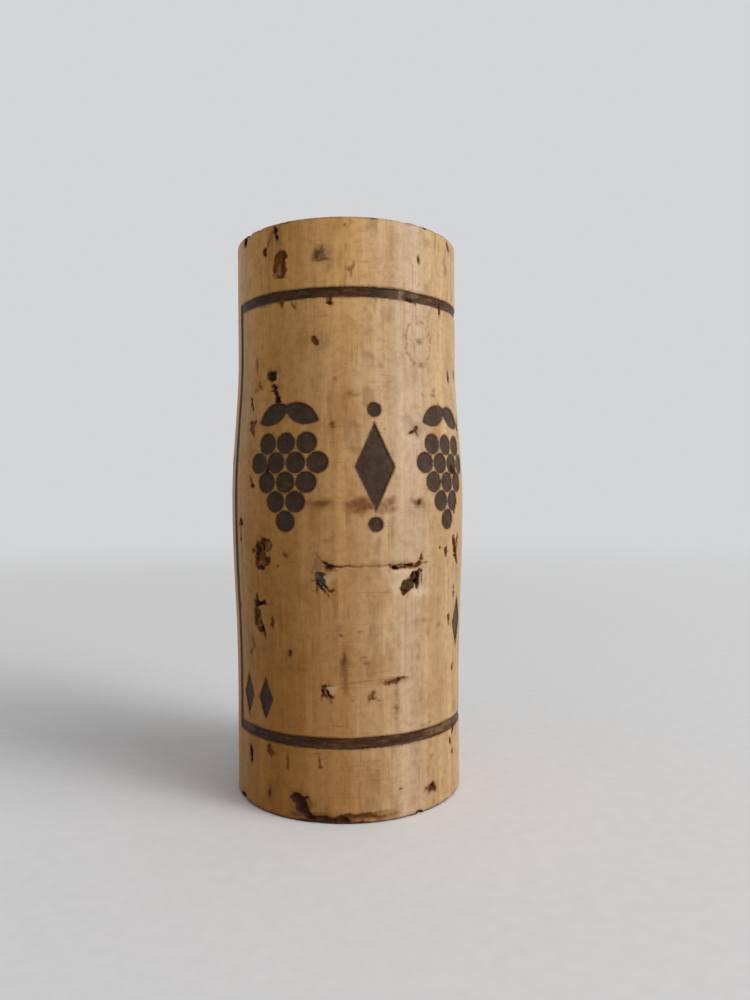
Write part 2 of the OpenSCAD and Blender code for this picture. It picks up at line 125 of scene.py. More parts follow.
# Pores: angle, height, width, tallness, depth, tint, and the lean of those that lean
FRONT_PORES = (
    # the lower band
    (-23.7, 1.95, 1.4, 1, .35, MAROON, -5), (-21.5, 1.15, 1.15, 1.3, .35, MAROON, -15),
    (-20, 2.2, .6, .3, .25, MAROON, -20), (-19.6, .9, .9, .9, .3, MAROON, -15),
    (-17, .45, 1.3, .7, .3, DARK), (-12.6, .4, 2.4, .6, .15, DARK, 2), (-8.4, .3, 2.8, .6, .15, DARK),
    (-10, .05, 5, .3, .08, BLACK), (-3.2, .35, 1.5, .75, .2, DARK, 8), (-1.2, .8, 1, .22, .08, UMBER),
    (4.4, .75, 2, .2, .06, UMBER, -3), (9.4, .62, 1.6, .16, .06, UMBER, 3), (4, .1, 1.2, .24, .1, DARK),
    (34.5, .15, .8, .7, .3, DARK), (42.8, 2, .8, .75, .3, MAROON), (40.6, 1.8, .3, .4, .2, MAROON, 30),
    (39.4, 2.1, .5, .16, .15, UMBER, -5), (-65, .2, 1.4, .8, .4, DARK), (-3.5, .1, .5, .3, .3, DARK),
    (-55.2, 4.95, .75, 1.5, .6, BLACK), (-39.7, 5.8, .8, .8, .1, BROWN, -20),
    (-37.5, 17.6, .4, .95, .1, BROWN), (-28.4, 15.16, .36, .6, .1, UMBER),
    (-14.5, 43.15, .66, .74, .08, UMBER), (-41.1, 6.2, .35, .5, .15, BROWN, 20),
    (-40.5, 2.1, .34, .75, .1, BROWN, 5), (62.6, 6.5, .5, .95, .4, BLACK, 8),
    (59.6, 5.45, .4, .75, .4, BLACK, -20), (62, 4.4, .3, .5, .3, DARK, -15),
    # inside the frame, low
    (-12.2, 11.75, .3, .9, .3, MAROON, 10), (-11.2, 12.25, .6, .25, .3, UMBER, -25),
    (-9.9, 11.65, .24, 1.1, .35, DARK, -28), (-8.3, 11.45, .4, .2, .3, DARK, 20),
    (-11, 11.4, .5, .25, .2, BROWN, 20), (19.2, 12.55, .9, .28, .15, BROWN, -4),
    (22.8, 12.58, .55, .38, .25, UMBER, -15), (25, 12.72, .7, .12, .1, FUME, -6),
    (62, 12.6, .5, .6, .4, BROWN), (56.5, 17.5, .45, 1, .3, BROWN),
    # the fissure at the left
    (-48.9, 18.2, .5, 1.8, .4, RUST), (-49.8, 18.4, .2, 1.3, .7, UMBER),
    (-47, 17.8, .6, 1.9, .35, CHESTNUT, -6), (-45.2, 17.8, .36, 2.2, .9, DARK, -14),
    (-45.1, 16.9, .5, .9, .6, DARK, -10), (-42.8, 16.5, .25, .6, .5, DARK, -25),
    (-47.6, 19.3, .9, .7, .6, UMBER), (-47.2, 19.8, .32, .7, .4, UMBER, -10),
    (-44.9, 19.3, 1.5, .32, .6, DARK, 4), (-42.6, 19.4, .5, .34, .5, DARK, -10),
    (-48.6, 19.1, .5, .3, .6, BLACK, -20), (-64.4, 18.8, .45, .7, .2, BROWN),
    (61, 19.7, .35, .5, .3, BROWN, 20), (61.3, 20.3, .2, .5, .2, BROWN),
    # the large pore at the left
    (-44.2, 23.75, 1.25, 2.5, .35, BROWN), (-42.6, 24.7, 1.3, 1, .35, BROWN, 20),
    (-44.4, 23.1, .5, .9, .3, CHESTNUT), (-39.6, 24.75, 1, .85, .35, CHESTNUT),
    (-40.2, 23.4, 1, .95, .35, BROWN), (-46.4, 24.2, .34, 1.6, .4, DARK, 6),
    (-42.6, 24.7, .3, .9, .6, BLACK, -20), (-37.5, 24.8, .28, .7, .5, DARK, -10),
    (-41.6, 24, .34, .8, .6, BLACK, 8), (-41, 23.5, .32, .5, .6, DARK, -30),
    (-40.4, 25.15, 1.1, .22, .5, DARK, 18), (-43.8, 22.75, .8, .4, .5, DARK, 10),
    (-38.6, 24.75, .4, .4, .25, TAN), (-39.2, 23.4, .4, .4, .3, FUME),
    (-46.6, 22.95, .35, .6, .3, RUST), (-48.7, 24.1, .35, .4, .15, RUST),
    (-59.8, 26.75, .9, .45, .5, BLACK, 25), (-61.5, 26.5, .5, .3, .4, DARK, 20),
    (-61, 25.05, .35, .4, .2, BROWN),
    # round the crack
    (-8.6, 22.98, .75, .36, .6, DARK, 14), (-9.9, 23.22, .6, .22, .4, DARK, 32),
    (-7.4, 22.8, .8, .3, .4, UMBER, 5), (20.9, 22.85, .9, .36, .7, BLACK, 4),
    (25.4, 22.84, 1.3, .14, .5, DARK), (32.6, 23.1, 1, .45, .3, UMBER, -30),
    (34.3, 23.45, .5, .4, .3, UMBER), (34.4, 23.4, .16, .5, .3, DARK, 5),
    (34.6, 23.7, .2, .4, .2, BROWN, 15), (-12.6, 21.75, .95, 1.5, .3, SLATE, -5),
    (-11.9, 20.95, 1.3, .17, .5, BLACK, 43), (-10.4, 21.15, 1, .14, .4, DARK, 37),
    (-14.4, 21.5, .18, 1, .4, DARK, -4), (-12.6, 22.4, .7, .16, .3, DARK),
    (-7.3, 20.85, .5, .2, .3, UMBER, -25), (27.4, 21, 1.5, 1.3, .5, OLIVE),
    (29.8, 21.15, .8, 1.1, .45, OLIVE), (29.3, 21.6, .8, 1.5, .5, OLIVE, 18),
    (26.1, 20.6, .6, .4, .5, DARK, -15), (28.3, 21, .15, 1, .5, DARK, 10),
    (26.7, 21.2, .14, .7, .5, DARK, 15), (29.9, 22.15, .5, .2, .5, DARK, -40),
    (32.9, 21.6, .5, 1.65, 1, BLACK, -4), (34.6, 22.3, .3, .3, .2, DARK),
    # the right edge
    (52.3, 24, .6, .85, .2, FUME, 5), (51.9, 23.85, .3, .4, .25, UMBER),
    (47.1, 24.4, .25, .2, .1, RUST), (59.6, 25.2, .6, .45, .4, DARK),
    (60.8, 24.4, .8, 1.7, .45, BROWN, -6), (59.8, 24.2, .25, 1.2, .6, BLACK, -6),
    (62.8, 23.6, .65, 1.7, .7, DARK, -12), (64.6, 22.8, .5, .6, .5, BROWN, -20),
    (65, 24.8, .4, 1.1, .4, UMBER), (33, 28.6, .34, .4, .12, UMBER), (59.3, 27.8, .38, .8, .3, BROWN),
    (49, 30.5, .55, .16, .2, BROWN, -15), (58.8, 31.7, .6, .9, .5, DARK, 20),
    (61.5, 31.3, .7, 1.1, .5, MAROON, 15), (60.3, 30.6, .35, .5, .4, DARK),
    (66.5, 30, .5, .3, .4, BLACK), (71.5, 36, .6, 1.7, .5, BLACK), (72, 41.3, .5, 1.1, .3, UMBER),
    # round the large ornaments
    (-50.2, 30.8, .2, .6, .25, UMBER, -35), (-48.8, 30.3, .5, .6, .35, UMBER),
    (-39, 31.5, .4, .9, .3, DARK), (-29.4, 34, .5, .55, .2, UMBER),
    (-50.6, 35.5, .6, 1.1, .2, CHESTNUT, -10), (-50.2, 35.2, .3, .6, .2, BROWN),
    (-48.6, 35.95, .7, .3, .2, CHESTNUT, -35), (-51.6, 36, .6, .3, .2, CHESTNUT, 20),
    (30.9, 34.95, .75, .26, .18, DARK, -12), (32.9, 35.25, .3, .55, .15, UMBER, 30),
    (-53.6, 38.3, .3, .4, .3, UMBER, -10), (-52.2, 37.65, .22, 1.25, .4, DARK, -28),
    # above them
    (-38.4, 40.2, .9, .95, .55, UMBER, 20), (-38.2, 40.45, .5, .4, .6, BLACK, 20),
    (-38.9, 39.9, .6, .45, .7, BLACK, 25), (-37.4, 40.1, .25, .5, .3, DARK),
    (-37.6, 39.3, .5, .3, .4, DARK, -25), (-36.6, 39, .8, .35, .5, BLACK, -25),
    (-35.2, 38.6, .5, .6, .5, DARK, -30), (-34, 37.95, .5, .6, .5, BLACK, -35),
    (-34.4, 38.4, .3, .5, .4, UMBER), (61, 40.55, .4, .95, .35, DARK, -12),
    (61.6, 40.2, .4, .35, .3, BROWN),
    # the upper line and the upper band
    (-7.9, 46.6, .75, .7, .3, UMBER), (-7.6, 46.3, .4, .24, .2, DARK), (-8, 46.62, .36, .34, .2, TAN),
    (31, 47, .9, .5, .15, BLACK), (52.2, 46.8, .4, 1.1, .3, BLACK, 5), (37, 50.8, .3, .75, .25, UMBER),
    (-34, 50.05, 1.35, 1.9, .2, CHESTNUT), (-33.6, 50.75, 1.1, 1.2, .2, BROWN, 30),
    (-36.3, 50.15, .4, .9, .25, BROWN, 10), (-31.6, 50.6, .75, 1.6, .2, BROWN),
    (-31.4, 49.7, .8, 1.2, .2, BROWN), (-33.4, 49.35, 1.2, .8, .2, BROWN),
    (-34.2, 49.7, .5, .8, .15, TAN, 10), (-31, 50.6, .28, 1.2, .3, UMBER),
    (-31.9, 50.1, .25, 1.5, .3, UMBER, 4), (-32.8, 49.9, .25, 1.2, .3, UMBER, 15),
    (-33.4, 49.05, .9, .25, .25, UMBER, 4), (-37.2, 49.9, .2, .9, .25, BROWN, 5),
    (-43.1, 51.75, .45, .8, .35, UMBER, -12), (-36, 53.3, .6, .9, .5, DARK, -8),
    (-35.2, 52.75, .35, .7, .3, DARK, -10), (-60.5, 53.5, .7, 1, .4, DARK, -15),
    (62, 53.2, .4, .9, .15, BROWN, -25), (-56, 54, .9, .5, .3, TAN), (-30, 53.95, .7, .25, .2, DARK),
    (12, 53.95, .5, .2, .15, UMBER), (41, 53.95, .6, .25, .2, DARK),
)

# The sides that face away: plain pores, closer together where they run straight out
BACK_PORES = (
    (96, 3.1, .8, 1.3, .6, DARK), (113, 9.8, .6, 1.1, .6, BLACK, 15), (124, 4.9, .5, .9, .4, BROWN),
    (88, 10.9, .45, .7, .4, DARK), (152, 2.6, .3, 1.2, .4, BROWN, 5), (186, 9.6, 1.8, .3, .4, DARK),
    (203, 4.2, 1.3, .25, .3, BROWN, 4), (171, 15.4, .3, 1.5, .4, DARK),
    (236, 11.9, .5, 1.1, .5, DARK, -12), (262, 5.2, .9, 1.5, .7, DARK),
    (279, 13.4, .7, 1.6, .8, BLACK, 8), (257, 17.8, .5, .9, .4, BROWN),
    (91, 26.2, .7, 1.3, .9, BLACK, 5), (93.5, 25.1, .7, 1, .8, DARK, -20), (101, 30.4, .5, 1, .5, DARK),
    (112, 22.4, .7, 1.2, .6, DARK, -15), (127, 32.5, .5, .6, .3, BROWN), (158, 26.9, 1.3, .3, .4, DARK),
    (192, 33.9, 2, .3, .5, BLACK, -3), (214, 24.3, 1.4, .25, .4, BROWN),
    (247, 30.6, .7, 1.2, .5, DARK, 10), (268, 26.4, .8, 1.1, .8, BLACK, -8),
    (270, 25.3, .6, 1, .7, DARK, 20), (284, 32.8, .6, 1.1, .6, DARK), (99, 50.6, .8, 1.4, .7, DARK, 5),
    (109, 43.2, .6, 1.2, .6, BLACK), (85, 38.8, .5, .9, .5, BROWN, 12), (133, 52.6, .5, .9, .4, BROWN),
    (166, 44.3, 1.5, .3, .4, DARK, 2), (181, 49.9, .25, 1.3, .3, BROWN),
    (209, 40.8, 1.7, .3, .4, DARK, -4), (228, 51.1, .6, 1, .4, DARK), (259, 44.1, .7, 1.7, .7, DARK, 6),
    (276, 50.2, .6, 1.2, .6, BROWN),
)

# Flat stains: angle, height, width, tallness, tint, strength, and lean
STAINS = (
    # dark marks along the lower rim
    (-8, .4, 5, .7, UMBER, .9, 2), (-19.2, 1.8, .7, 1.2, ROSE, .5, -10), (-13, .8, 3, .9, UMBER, .6),
    (8, .5, 5.6, .6, BROWN, .6, -2), (6, .85, 5, .18, BROWN, .6, -2), (17, .4, 3, .35, BROWN, .5),
    (-25, .5, 2.2, .7, MAROON, .6), (-23.2, 1.7, 2.3, 2.2, UMBER, .5), (-20, 1.2, 1.4, 1.6, UMBER, .6),
    (41.6, 2, 1.8, 1.1, WINE, .45), (43.9, .65, .3, .3, FUME, .5), (32.7, 5.8, .3, .9, GREY, .4, -10),
    (31.6, 4.8, .5, .8, GREY, .4, 10), (34.1, 3.4, .25, 1.6, GREY, .35, -5),
    # reddish band behind the ornaments
    (1.4, 28.4, 1.6, .8, ROSE, .7), (4.8, 28.3, 1.8, 1.3, WINE, .8), (6.4, 28.75, 1, .5, BROWN, .8),
    (4.8, 27.7, .9, .6, RUST, .5), (8.8, 28.35, 1.2, .8, WINE, .7), (13, 28.2, 2, .9, UMBER, .4),
    (16.6, 28.5, 1, .8, WINE, .5), (19, 28.7, .9, .7, WINE, .7), (19.8, 28, .8, .5, WINE, .6),
    (20.8, 28.3, .7, .7, ROSE, .4), (-11.6, 28.6, 2.3, .75, BROWN, .75),
    (-11.8, 28.62, 1.1, .42, UMBER, .6), (30, 28.7, .8, .4, FUME, .7, 10),
    (33, 28.55, .9, .8, FUME, .65), (35.8, 28.2, .5, .4, FUME, .5), (-60.4, 25.8, .35, 1.7, RUST, 1),
    # grey and olive smudges
    (2, 35.6, 1.5, .4, GREY, .5, 20), (.2, 34.8, .45, 1.4, GREY, .45, 15),
    (4.6, 34.6, .45, 1.5, GREY, .45, -10), (2.5, 33.3, 1.5, .6, GREY, .45),
    (-12.2, 50.75, 1.5, 1.3, SOOT, .5), (-13.4, 50.7, 1, .8, SOOT, .6, 20),
    (-13.9, 50.7, .3, .7, SOOT, .9), (-12.6, 50.9, .24, .5, SOOT, .8, 15),
    (-11.2, 51.1, .3, .9, SOOT, .8, -10), (-9.6, 50.25, 1.1, .24, SOOT, .8, 15),
    (-12.6, 50.2, .7, .24, SOOT, .8), (3, 49.6, .3, .9, BROWN, .8, 10),
    (1.6, 49.3, .5, .4, BROWN, .85, -30), (2.2, 48.9, .3, .8, BROWN, .8, -8),
    (1.5, 53.6, .3, .9, RUST, .4), (-40.6, 52.4, .45, .8, RUST, .95, 25),
    (-39.2, 53, .5, .8, RUST, .6, 10), (-12.2, 42.9, 1.4, 1.3, GREY, .4),
    (36.5, 43.3, .65, .65, FUME, .75), (15.9, 40.8, .4, .35, BROWN, .5),
    (-5.9, 39.6, .35, .4, BROWN, .5), (-6.4, 35.4, .7, .8, BROWN, .4), (38.8, 41.1, .5, .35, BROWN, .4),
    (29, 36.1, 1.3, .7, GREY, .45, 20), (31.2, 35.2, 1.8, 1.6, GREY, .4),
    (32.8, 35, .9, 1.1, FUME, .45), (-32.8, 46.85, .7, .4, UMBER, 1), (-32.2, 46.55, .27, .6, UMBER, 1),
    (-26, 46.3, .24, .9, UMBER, 1, -35), (-24.8, 46.45, .3, .5, BROWN, .5, 25),
    (13.4, 46.55, .35, .4, FUME, .5), (8.2, 45.7, .45, .9, GREY, .45), (10.7, 43.9, .8, 1.1, GREY, .35),
    (-36.2, 49.2, .7, .5, BROWN, .4, 30), (64, 53, .9, .5, RUST, .6, 25),
    (57.6, 51.5, .3, 1.3, BROWN, .55, -8), (59.2, 50.8, .3, 1.2, BROWN, .55, 10),
    (59, 50.6, .8, .5, BROWN, .35), (42, 52.7, 1.2, .5, FUME, .35, 20),
    (48.5, 52.9, .3, 1.6, BROWN, .45, 6), (52, 52.5, .25, 1.5, BROWN, .4, 4),
    (-52.2, 15.7, .5, 1.3, SOOT, .75, -25), (-53.8, 14.8, .4, 1, SOOT, .75, 30),
    (10.6, 11.5, .4, .9, UMBER, .95, 15), (8.7, 11.2, .26, .9, UMBER, .8),
    (12.4, 10.95, .9, .16, BROWN, .5, 12), (10.4, 11.1, .8, .24, UMBER, .8, -10),
    (1.8, 11, .4, .25, BROWN, .6), (41.5, 8.15, .4, .3, FUME, .6, -30), (37.3, 8.15, .4, .3, FUME, .5),
    (29.9, 8.5, .4, .3, BROWN, .4), (35.8, 10.9, .35, 1.6, GREY, .4),
    (8.2, 14.3, .7, .28, BROWN, .7, 10), (6.6, 14.85, .6, .25, FUME, .5),
    (34.2, 14.8, .35, 1.9, FUME, .42, -6), (33, 17.6, 1, 1.1, GREY, .42),
    (36.6, 17.8, .35, .4, FUME, .45), (47.2, 17.1, .5, .4, FUME, .45, 20),
    (4.5, 12.65, 2.6, .14, FUME, .55, -4), (21, 12.6, 2.8, .55, FUME, .5),
    (27, 12.75, 1.2, .16, FUME, .45, 4), (22.4, 10.6, .4, 3.6, FUME, .45),
    (-2.1, 14.1, .75, 2.5, FUME, .65), (-2.4, 14.6, .4, 1.3, UMBER, .4),
    (-1.8, 12.2, .5, 1.4, BROWN, .6), (-3.6, 17.2, .5, 1, BROWN, .4), (-8.2, 12, .8, .7, PALE_AND_HIGHLIGHT, .4),
    (-27.8, 15, .45, 3.2, GREY, .45), (-28.6, 15.2, .9, .9, GREY, .4),
    (-4.5, 8.8, 1.2, .16, BROWN, .45, 3), (17, 20.6, .6, .4, BROWN, .45),
    (5.2, 17.2, .6, .26, BROWN, .6), (-28.8, 23.95, .8, .8, BROWN, .55),
    (-53, 20.35, .6, .8, BROWN, .5), (-9.8, 25.3, .7, .35, BROWN, .45), (-47, 23, .7, .9, RUST, .4),
    (-9.6, 21.5, .45, 1.1, PALE_AND_HIGHLIGHT, .45, -25), (-8.8, 22.65, .7, .3, RUST, .5, 10),
    # the three pale patches on this line lie in the lamp's band and are a painted highlight
    (26.5, 22.55, 1.8, .4, PALE_AND_HIGHLIGHT, .4), (34.5, 20.4, 1.2, .7, PALE_AND_HIGHLIGHT, .4), (21.8, 20.9, .8, 1.3, PALE_AND_HIGHLIGHT, .5),
    (45.8, 39.05, .5, .4, FUME, .8, -25), (45.4, 38.55, .6, .3, FUME, .8),
    (48.6, 38, .24, 1, GREY, .7, -25), (50.2, 37.4, .24, .8, FUME, .6, -15),
    (38, 38.4, .6, .25, FUME, .45, 30), (3, 38.15, .95, .36, BROWN, .6),
    (1, 38.35, .6, .3, BROWN, .5, -15), (-28, 30.3, 1, .25, BROWN, .5, 18),
    (-25.5, 8.6, .7, .5, GREY, .5, -30), (-51, 7.2, .9, 1, BLACK, .6),
    (-40, 5.9, 1.3, 1, BROWN, .4, -30), (-14.5, 6.3, .9, .2, BROWN, .5, -10),
    (56, 5.9, .9, .3, GREY, .5), (61.5, 4.6, .6, .35, BROWN, .55, -35), (13, 23, 5.6, .22, BROWN, .5),
    (-10.8, 23.3, 1.8, .8, FUME, .35, -20), (26, 23, 3.6, .6, BROWN, .35, 5),
    (-14.2, 23, 1.1, 1.3, GREY, .5), (-14.6, 23.4, .2, .8, FUME, .5, 25),
    (-13.2, 23.9, .2, .7, FUME, .5, -30), (-13.2, 21.9, 1.6, 2, GREY, .35),
    # where the print has worn thin; the pale patch across the upper line at 26.6° is a painted
    # highlight where the lamp's reflection crosses it, and the long pale patch on the lower line
    # at 50° is partly wear and partly painted sheen
    (26.6, 47.3, .9, 1.2, TAN, .7), (29.6, 47.2, 1.2, .6, BLACK, .7),
    (34.4, 46.75, .3, .6, DARK, .7, 10), (34.6, 47.4, 1.3, .5, TAN, .35), (50, 7.25, 4.6, .5, TAN, .42),
    (-58, 7.3, 2, .4, TAN, .3),
    # pale places next to the large pores; those from 24° to 36° round lie in the lamp's band and are a
    # painted highlight, the others are pale skin
    (31.6, 20.5, 2.6, 1, PALE_AND_HIGHLIGHT, .5, 10), (35.4, 21.6, .6, 2, PALE_AND_HIGHLIGHT, .4),
    (24, 22.3, 2, .7, PALE_AND_HIGHLIGHT, .55, -10), (24.4, 21.3, .7, 1.6, PALE_AND_HIGHLIGHT, .6), (-9.8, 22, 1.2, 1, PALE_AND_HIGHLIGHT, .3),
    (-36.2, 40.1, .6, .9, PALE_AND_HIGHLIGHT, .3), (30, 34.4, 2.2, 1.4, PALE_AND_HIGHLIGHT, .2),
    # soft marks
    (24, 2.7, .32, .24, UMBER, .92), (42.3, 4.9, .32, .42, BROWN, .82),
    (-29.7, 5.2, .24, 1.4, UMBER, .9, -7), (-29.4, 4.7, .3, .4, UMBER, 1),
    (-13.6, 5.7, .24, 1.1, UMBER, .95, -10), (-12.9, 5, .5, .27, UMBER, 1),
    (-9, 12.35, .79, .18, BROWN, .82, 5), (-2, 14.7, .31, .77, UMBER, .92),
    (-3.3, 16.9, .46, .24, BROWN, 1, 20), (22, 10.1, .35, .33, UMBER, .97),
    (-28.9, 23.95, .44, .43, UMBER, .97), (-33.3, 22.9, .35, .22, BROWN, .97, 20),
    (-48.6, 39, .7, .3, RUST, .95, -15), (-45.8, 39.3, .8, .4, RUST, .95, 30),
    (-46.6, 39.6, .26, .6, BROWN, 1, 10), (-49.8, 41.4, .47, 1.17, BROWN, .92),
    (33, 34.75, .31, .66, FUME, .97, -25), (31, 23.02, 1.22, .42, BROWN, 1, -22),
    (37, 23.1, .62, .14, FUME, .92, -4), (35.1, 21.75, .24, 1.1, FUME, .92, -10),
    (-1, 53.2, .22, .2, BROWN, .82), (-6.4, 35.4, .38, .6, UMBER, .82),
)

# A faint scalloped ring in the upper right: its centre, half sizes and strength, how
# deep its scallops are, and how far its line strays
RING_ANGLE, RING_Z = 36.5, 43.2
RING_HALF_W, RING_HALF_H = 1.5, 1.95
RING_STRENGTH, RING_SCALLOP, RING_STRAY = 0.5, 0.06, 0.32

# The crack: start and end angle, height, half opening, depth
CRACK_START, CRACK_END, CRACK_Z = -11.0, 31.0, 22.95
CRACK_HALF_W, CRACK_DEPTH = 0.11, 0.6

# Slots on the flat ends: across the layers, along them, length, width, depth
END_SLOTS = (
    (-6.2, 2.4, 2.6, 0.5, 0.8), (-1.4, -3.6, 3.4, 0.4, 0.7), (3.8, 4.9, 2.2, 0.5, 0.8),
    (5.6, -1.1, 1.6, 0.6, 0.9), (-3.2, 6.8, 1.4, 0.4, 0.6), (1.6, -7.4, 2.0, 0.5, 0.7),
)

# The most that a mark's edge strays from an oval, slowly and in fine steps, and how far
# round the oval the distance to it is worked out
MOST_STRAY, MOST_RAGGED, OVAL_REACH = 0.22, 0.13, 0.5

# A stain that is narrower than this needs the fine lattice
THIN_STAIN = 0.28

# Half the width of the band over which a pit's dirt fades out
PIT_EDGE = 0.2

# How far in from the rims the flat ends start, and over what width the rims wear
END_START, RIM_WEAR_W = 0.2, 0.25

# Slow dents and streaks in the skin, as depths to either side of their middle
DENT, STREAK_DENT = 0.012, 0.006


# ---- The skin's lattice

# The skin is unrolled: columns go round, rows go from the centre of the lower end,
# over the rim, up the side, and over the upper rim to the centre of the upper end.
# The outermost rows lie just short of the centres.
COLUMNS = 688
COLUMN_STEP = 360.0 / COLUMNS
ROW_STEP = 0.1
END_ROWS = 108
FIRST_ROW = 1
SIDE_ROWS = int(round(BODY_H / ROW_STEP))
ROWS = SIDE_ROWS + 2 * END_ROWS
HEIGHTS = (np.arange(ROWS + 1) - END_ROWS) * ROW_STEP
ANGLES = np.arange(COLUMNS) * 360.0 / COLUMNS - 180.0

# The largest cell, in lattice steps, for plain skin, for stains and for fine detail
PLAIN, STAINED, FINE_CELL = 8, 2, 1


def ease(t):
    return (1 - np.cos(np.pi * np.clip(t, 0, 1))) / 2


def smooth(low, high, x):
    t = np.clip((x - low) / (high - low), 0, 1)
    return t * t * (3 - 2 * t)


def turned(x, y, angle):
    """The same point, as seen from axes that are turned by that many radians."""
    return (x * math.cos(angle) + y * math.sin(angle),
            y * math.cos(angle) - x * math.sin(angle))


def radius_at(z):
    rising = ease((z - LOWER_STRAIGHT_Z) / (BELLY_Z - LOWER_STRAIGHT_Z))
    falling = ease((UPPER_STRAIGHT_Z - z) / (UPPER_STRAIGHT_Z - BELLY_Z))
    lower = BOTTOM_R + (BELLY_R - BOTTOM_R) * rising
    upper = TOP_R + (BELLY_R - TOP_R) * falling
    return np.where(z <= BELLY_Z, lower, upper)


def outline(height):
    """Radius, z and the outward normal of the plain plug at each unrolled height."""
    z = np.clip(height, 0, BODY_H)
    r = radius_at(z)
    turn = np.zeros(len(height))
    for end_r, past, up in ((BOTTOM_R, -height, -1), (TOP_R, height - BODY_H, 1)):
        r = np.where(past > 0, end_r - past, r)
        # the corner is replaced by an arc of the rim's radius, walked at an even pace
        bend = np.clip((RIM_R + past) / (2 * RIM_R), 0, 1) * np.pi / 2
        on_rim = np.abs(past) < RIM_R
        r = np.where(on_rim, end_r - RIM_R * (1 - np.cos(bend)), r)
        drop = RIM_R * (1 - np.sin(bend))
        z = np.where(on_rim, BODY_H - drop if up > 0 else drop, z)
        turn += up * bend
    return np.maximum(r, 0), z, np.cos(turn), np.sin(turn)


def lattice_noise(blob_w, blob_h, seed):
    """Smooth noise from -1 to 1 over the whole lattice, with blobs of about that size."""
    across = max(4, int(round(2 * math.pi * MEAN_R / blob_w)))
    up = max(4, int(round(ROWS * ROW_STEP / blob_h)))
    knots = np.random.default_rng(seed).uniform(-1, 1, (up + 2, across))
    y = np.arange(ROWS + 1) / ROWS * up
    x = np.arange(COLUMNS) / COLUMNS * across
    y0, x0 = np.floor(y).astype(int), np.floor(x).astype(int)
    fy, fx = smooth(0, 1, y - y0)[:, None], smooth(0, 1, x - x0)[None, :]
    x1 = (x0 + 1) % across
    low = knots[y0][:, x0] * (1 - fx) + knots[y0][:, x1] * fx
    high = knots[y0 + 1][:, x0] * (1 - fx) + knots[y0 + 1][:, x1] * fx
    return low * (1 - fy) + high * fy


FINE = lattice_noise(0.28, 0.28, 1)
MIDDLE = lattice_noise(0.7, 0.7, 2)
MIDDLE_B = lattice_noise(0.7, 0.7, 3)
COARSE = lattice_noise(2.6, 4.0, 4)
STREAKS = lattice_noise(0.45, 7.0, 5)


def blend(colours, tint, share, whole):
    """Mixes in a tint by its share of the whole. Bare points take the tint as it is, so
    that no edge runs into black."""
    mix = np.where(whole > 0, share / np.maximum(whole, 1e-6), 1.0)[..., None]
    colours[..., :3] = colours[..., :3] * (1 - mix) + np.array(tint) * mix


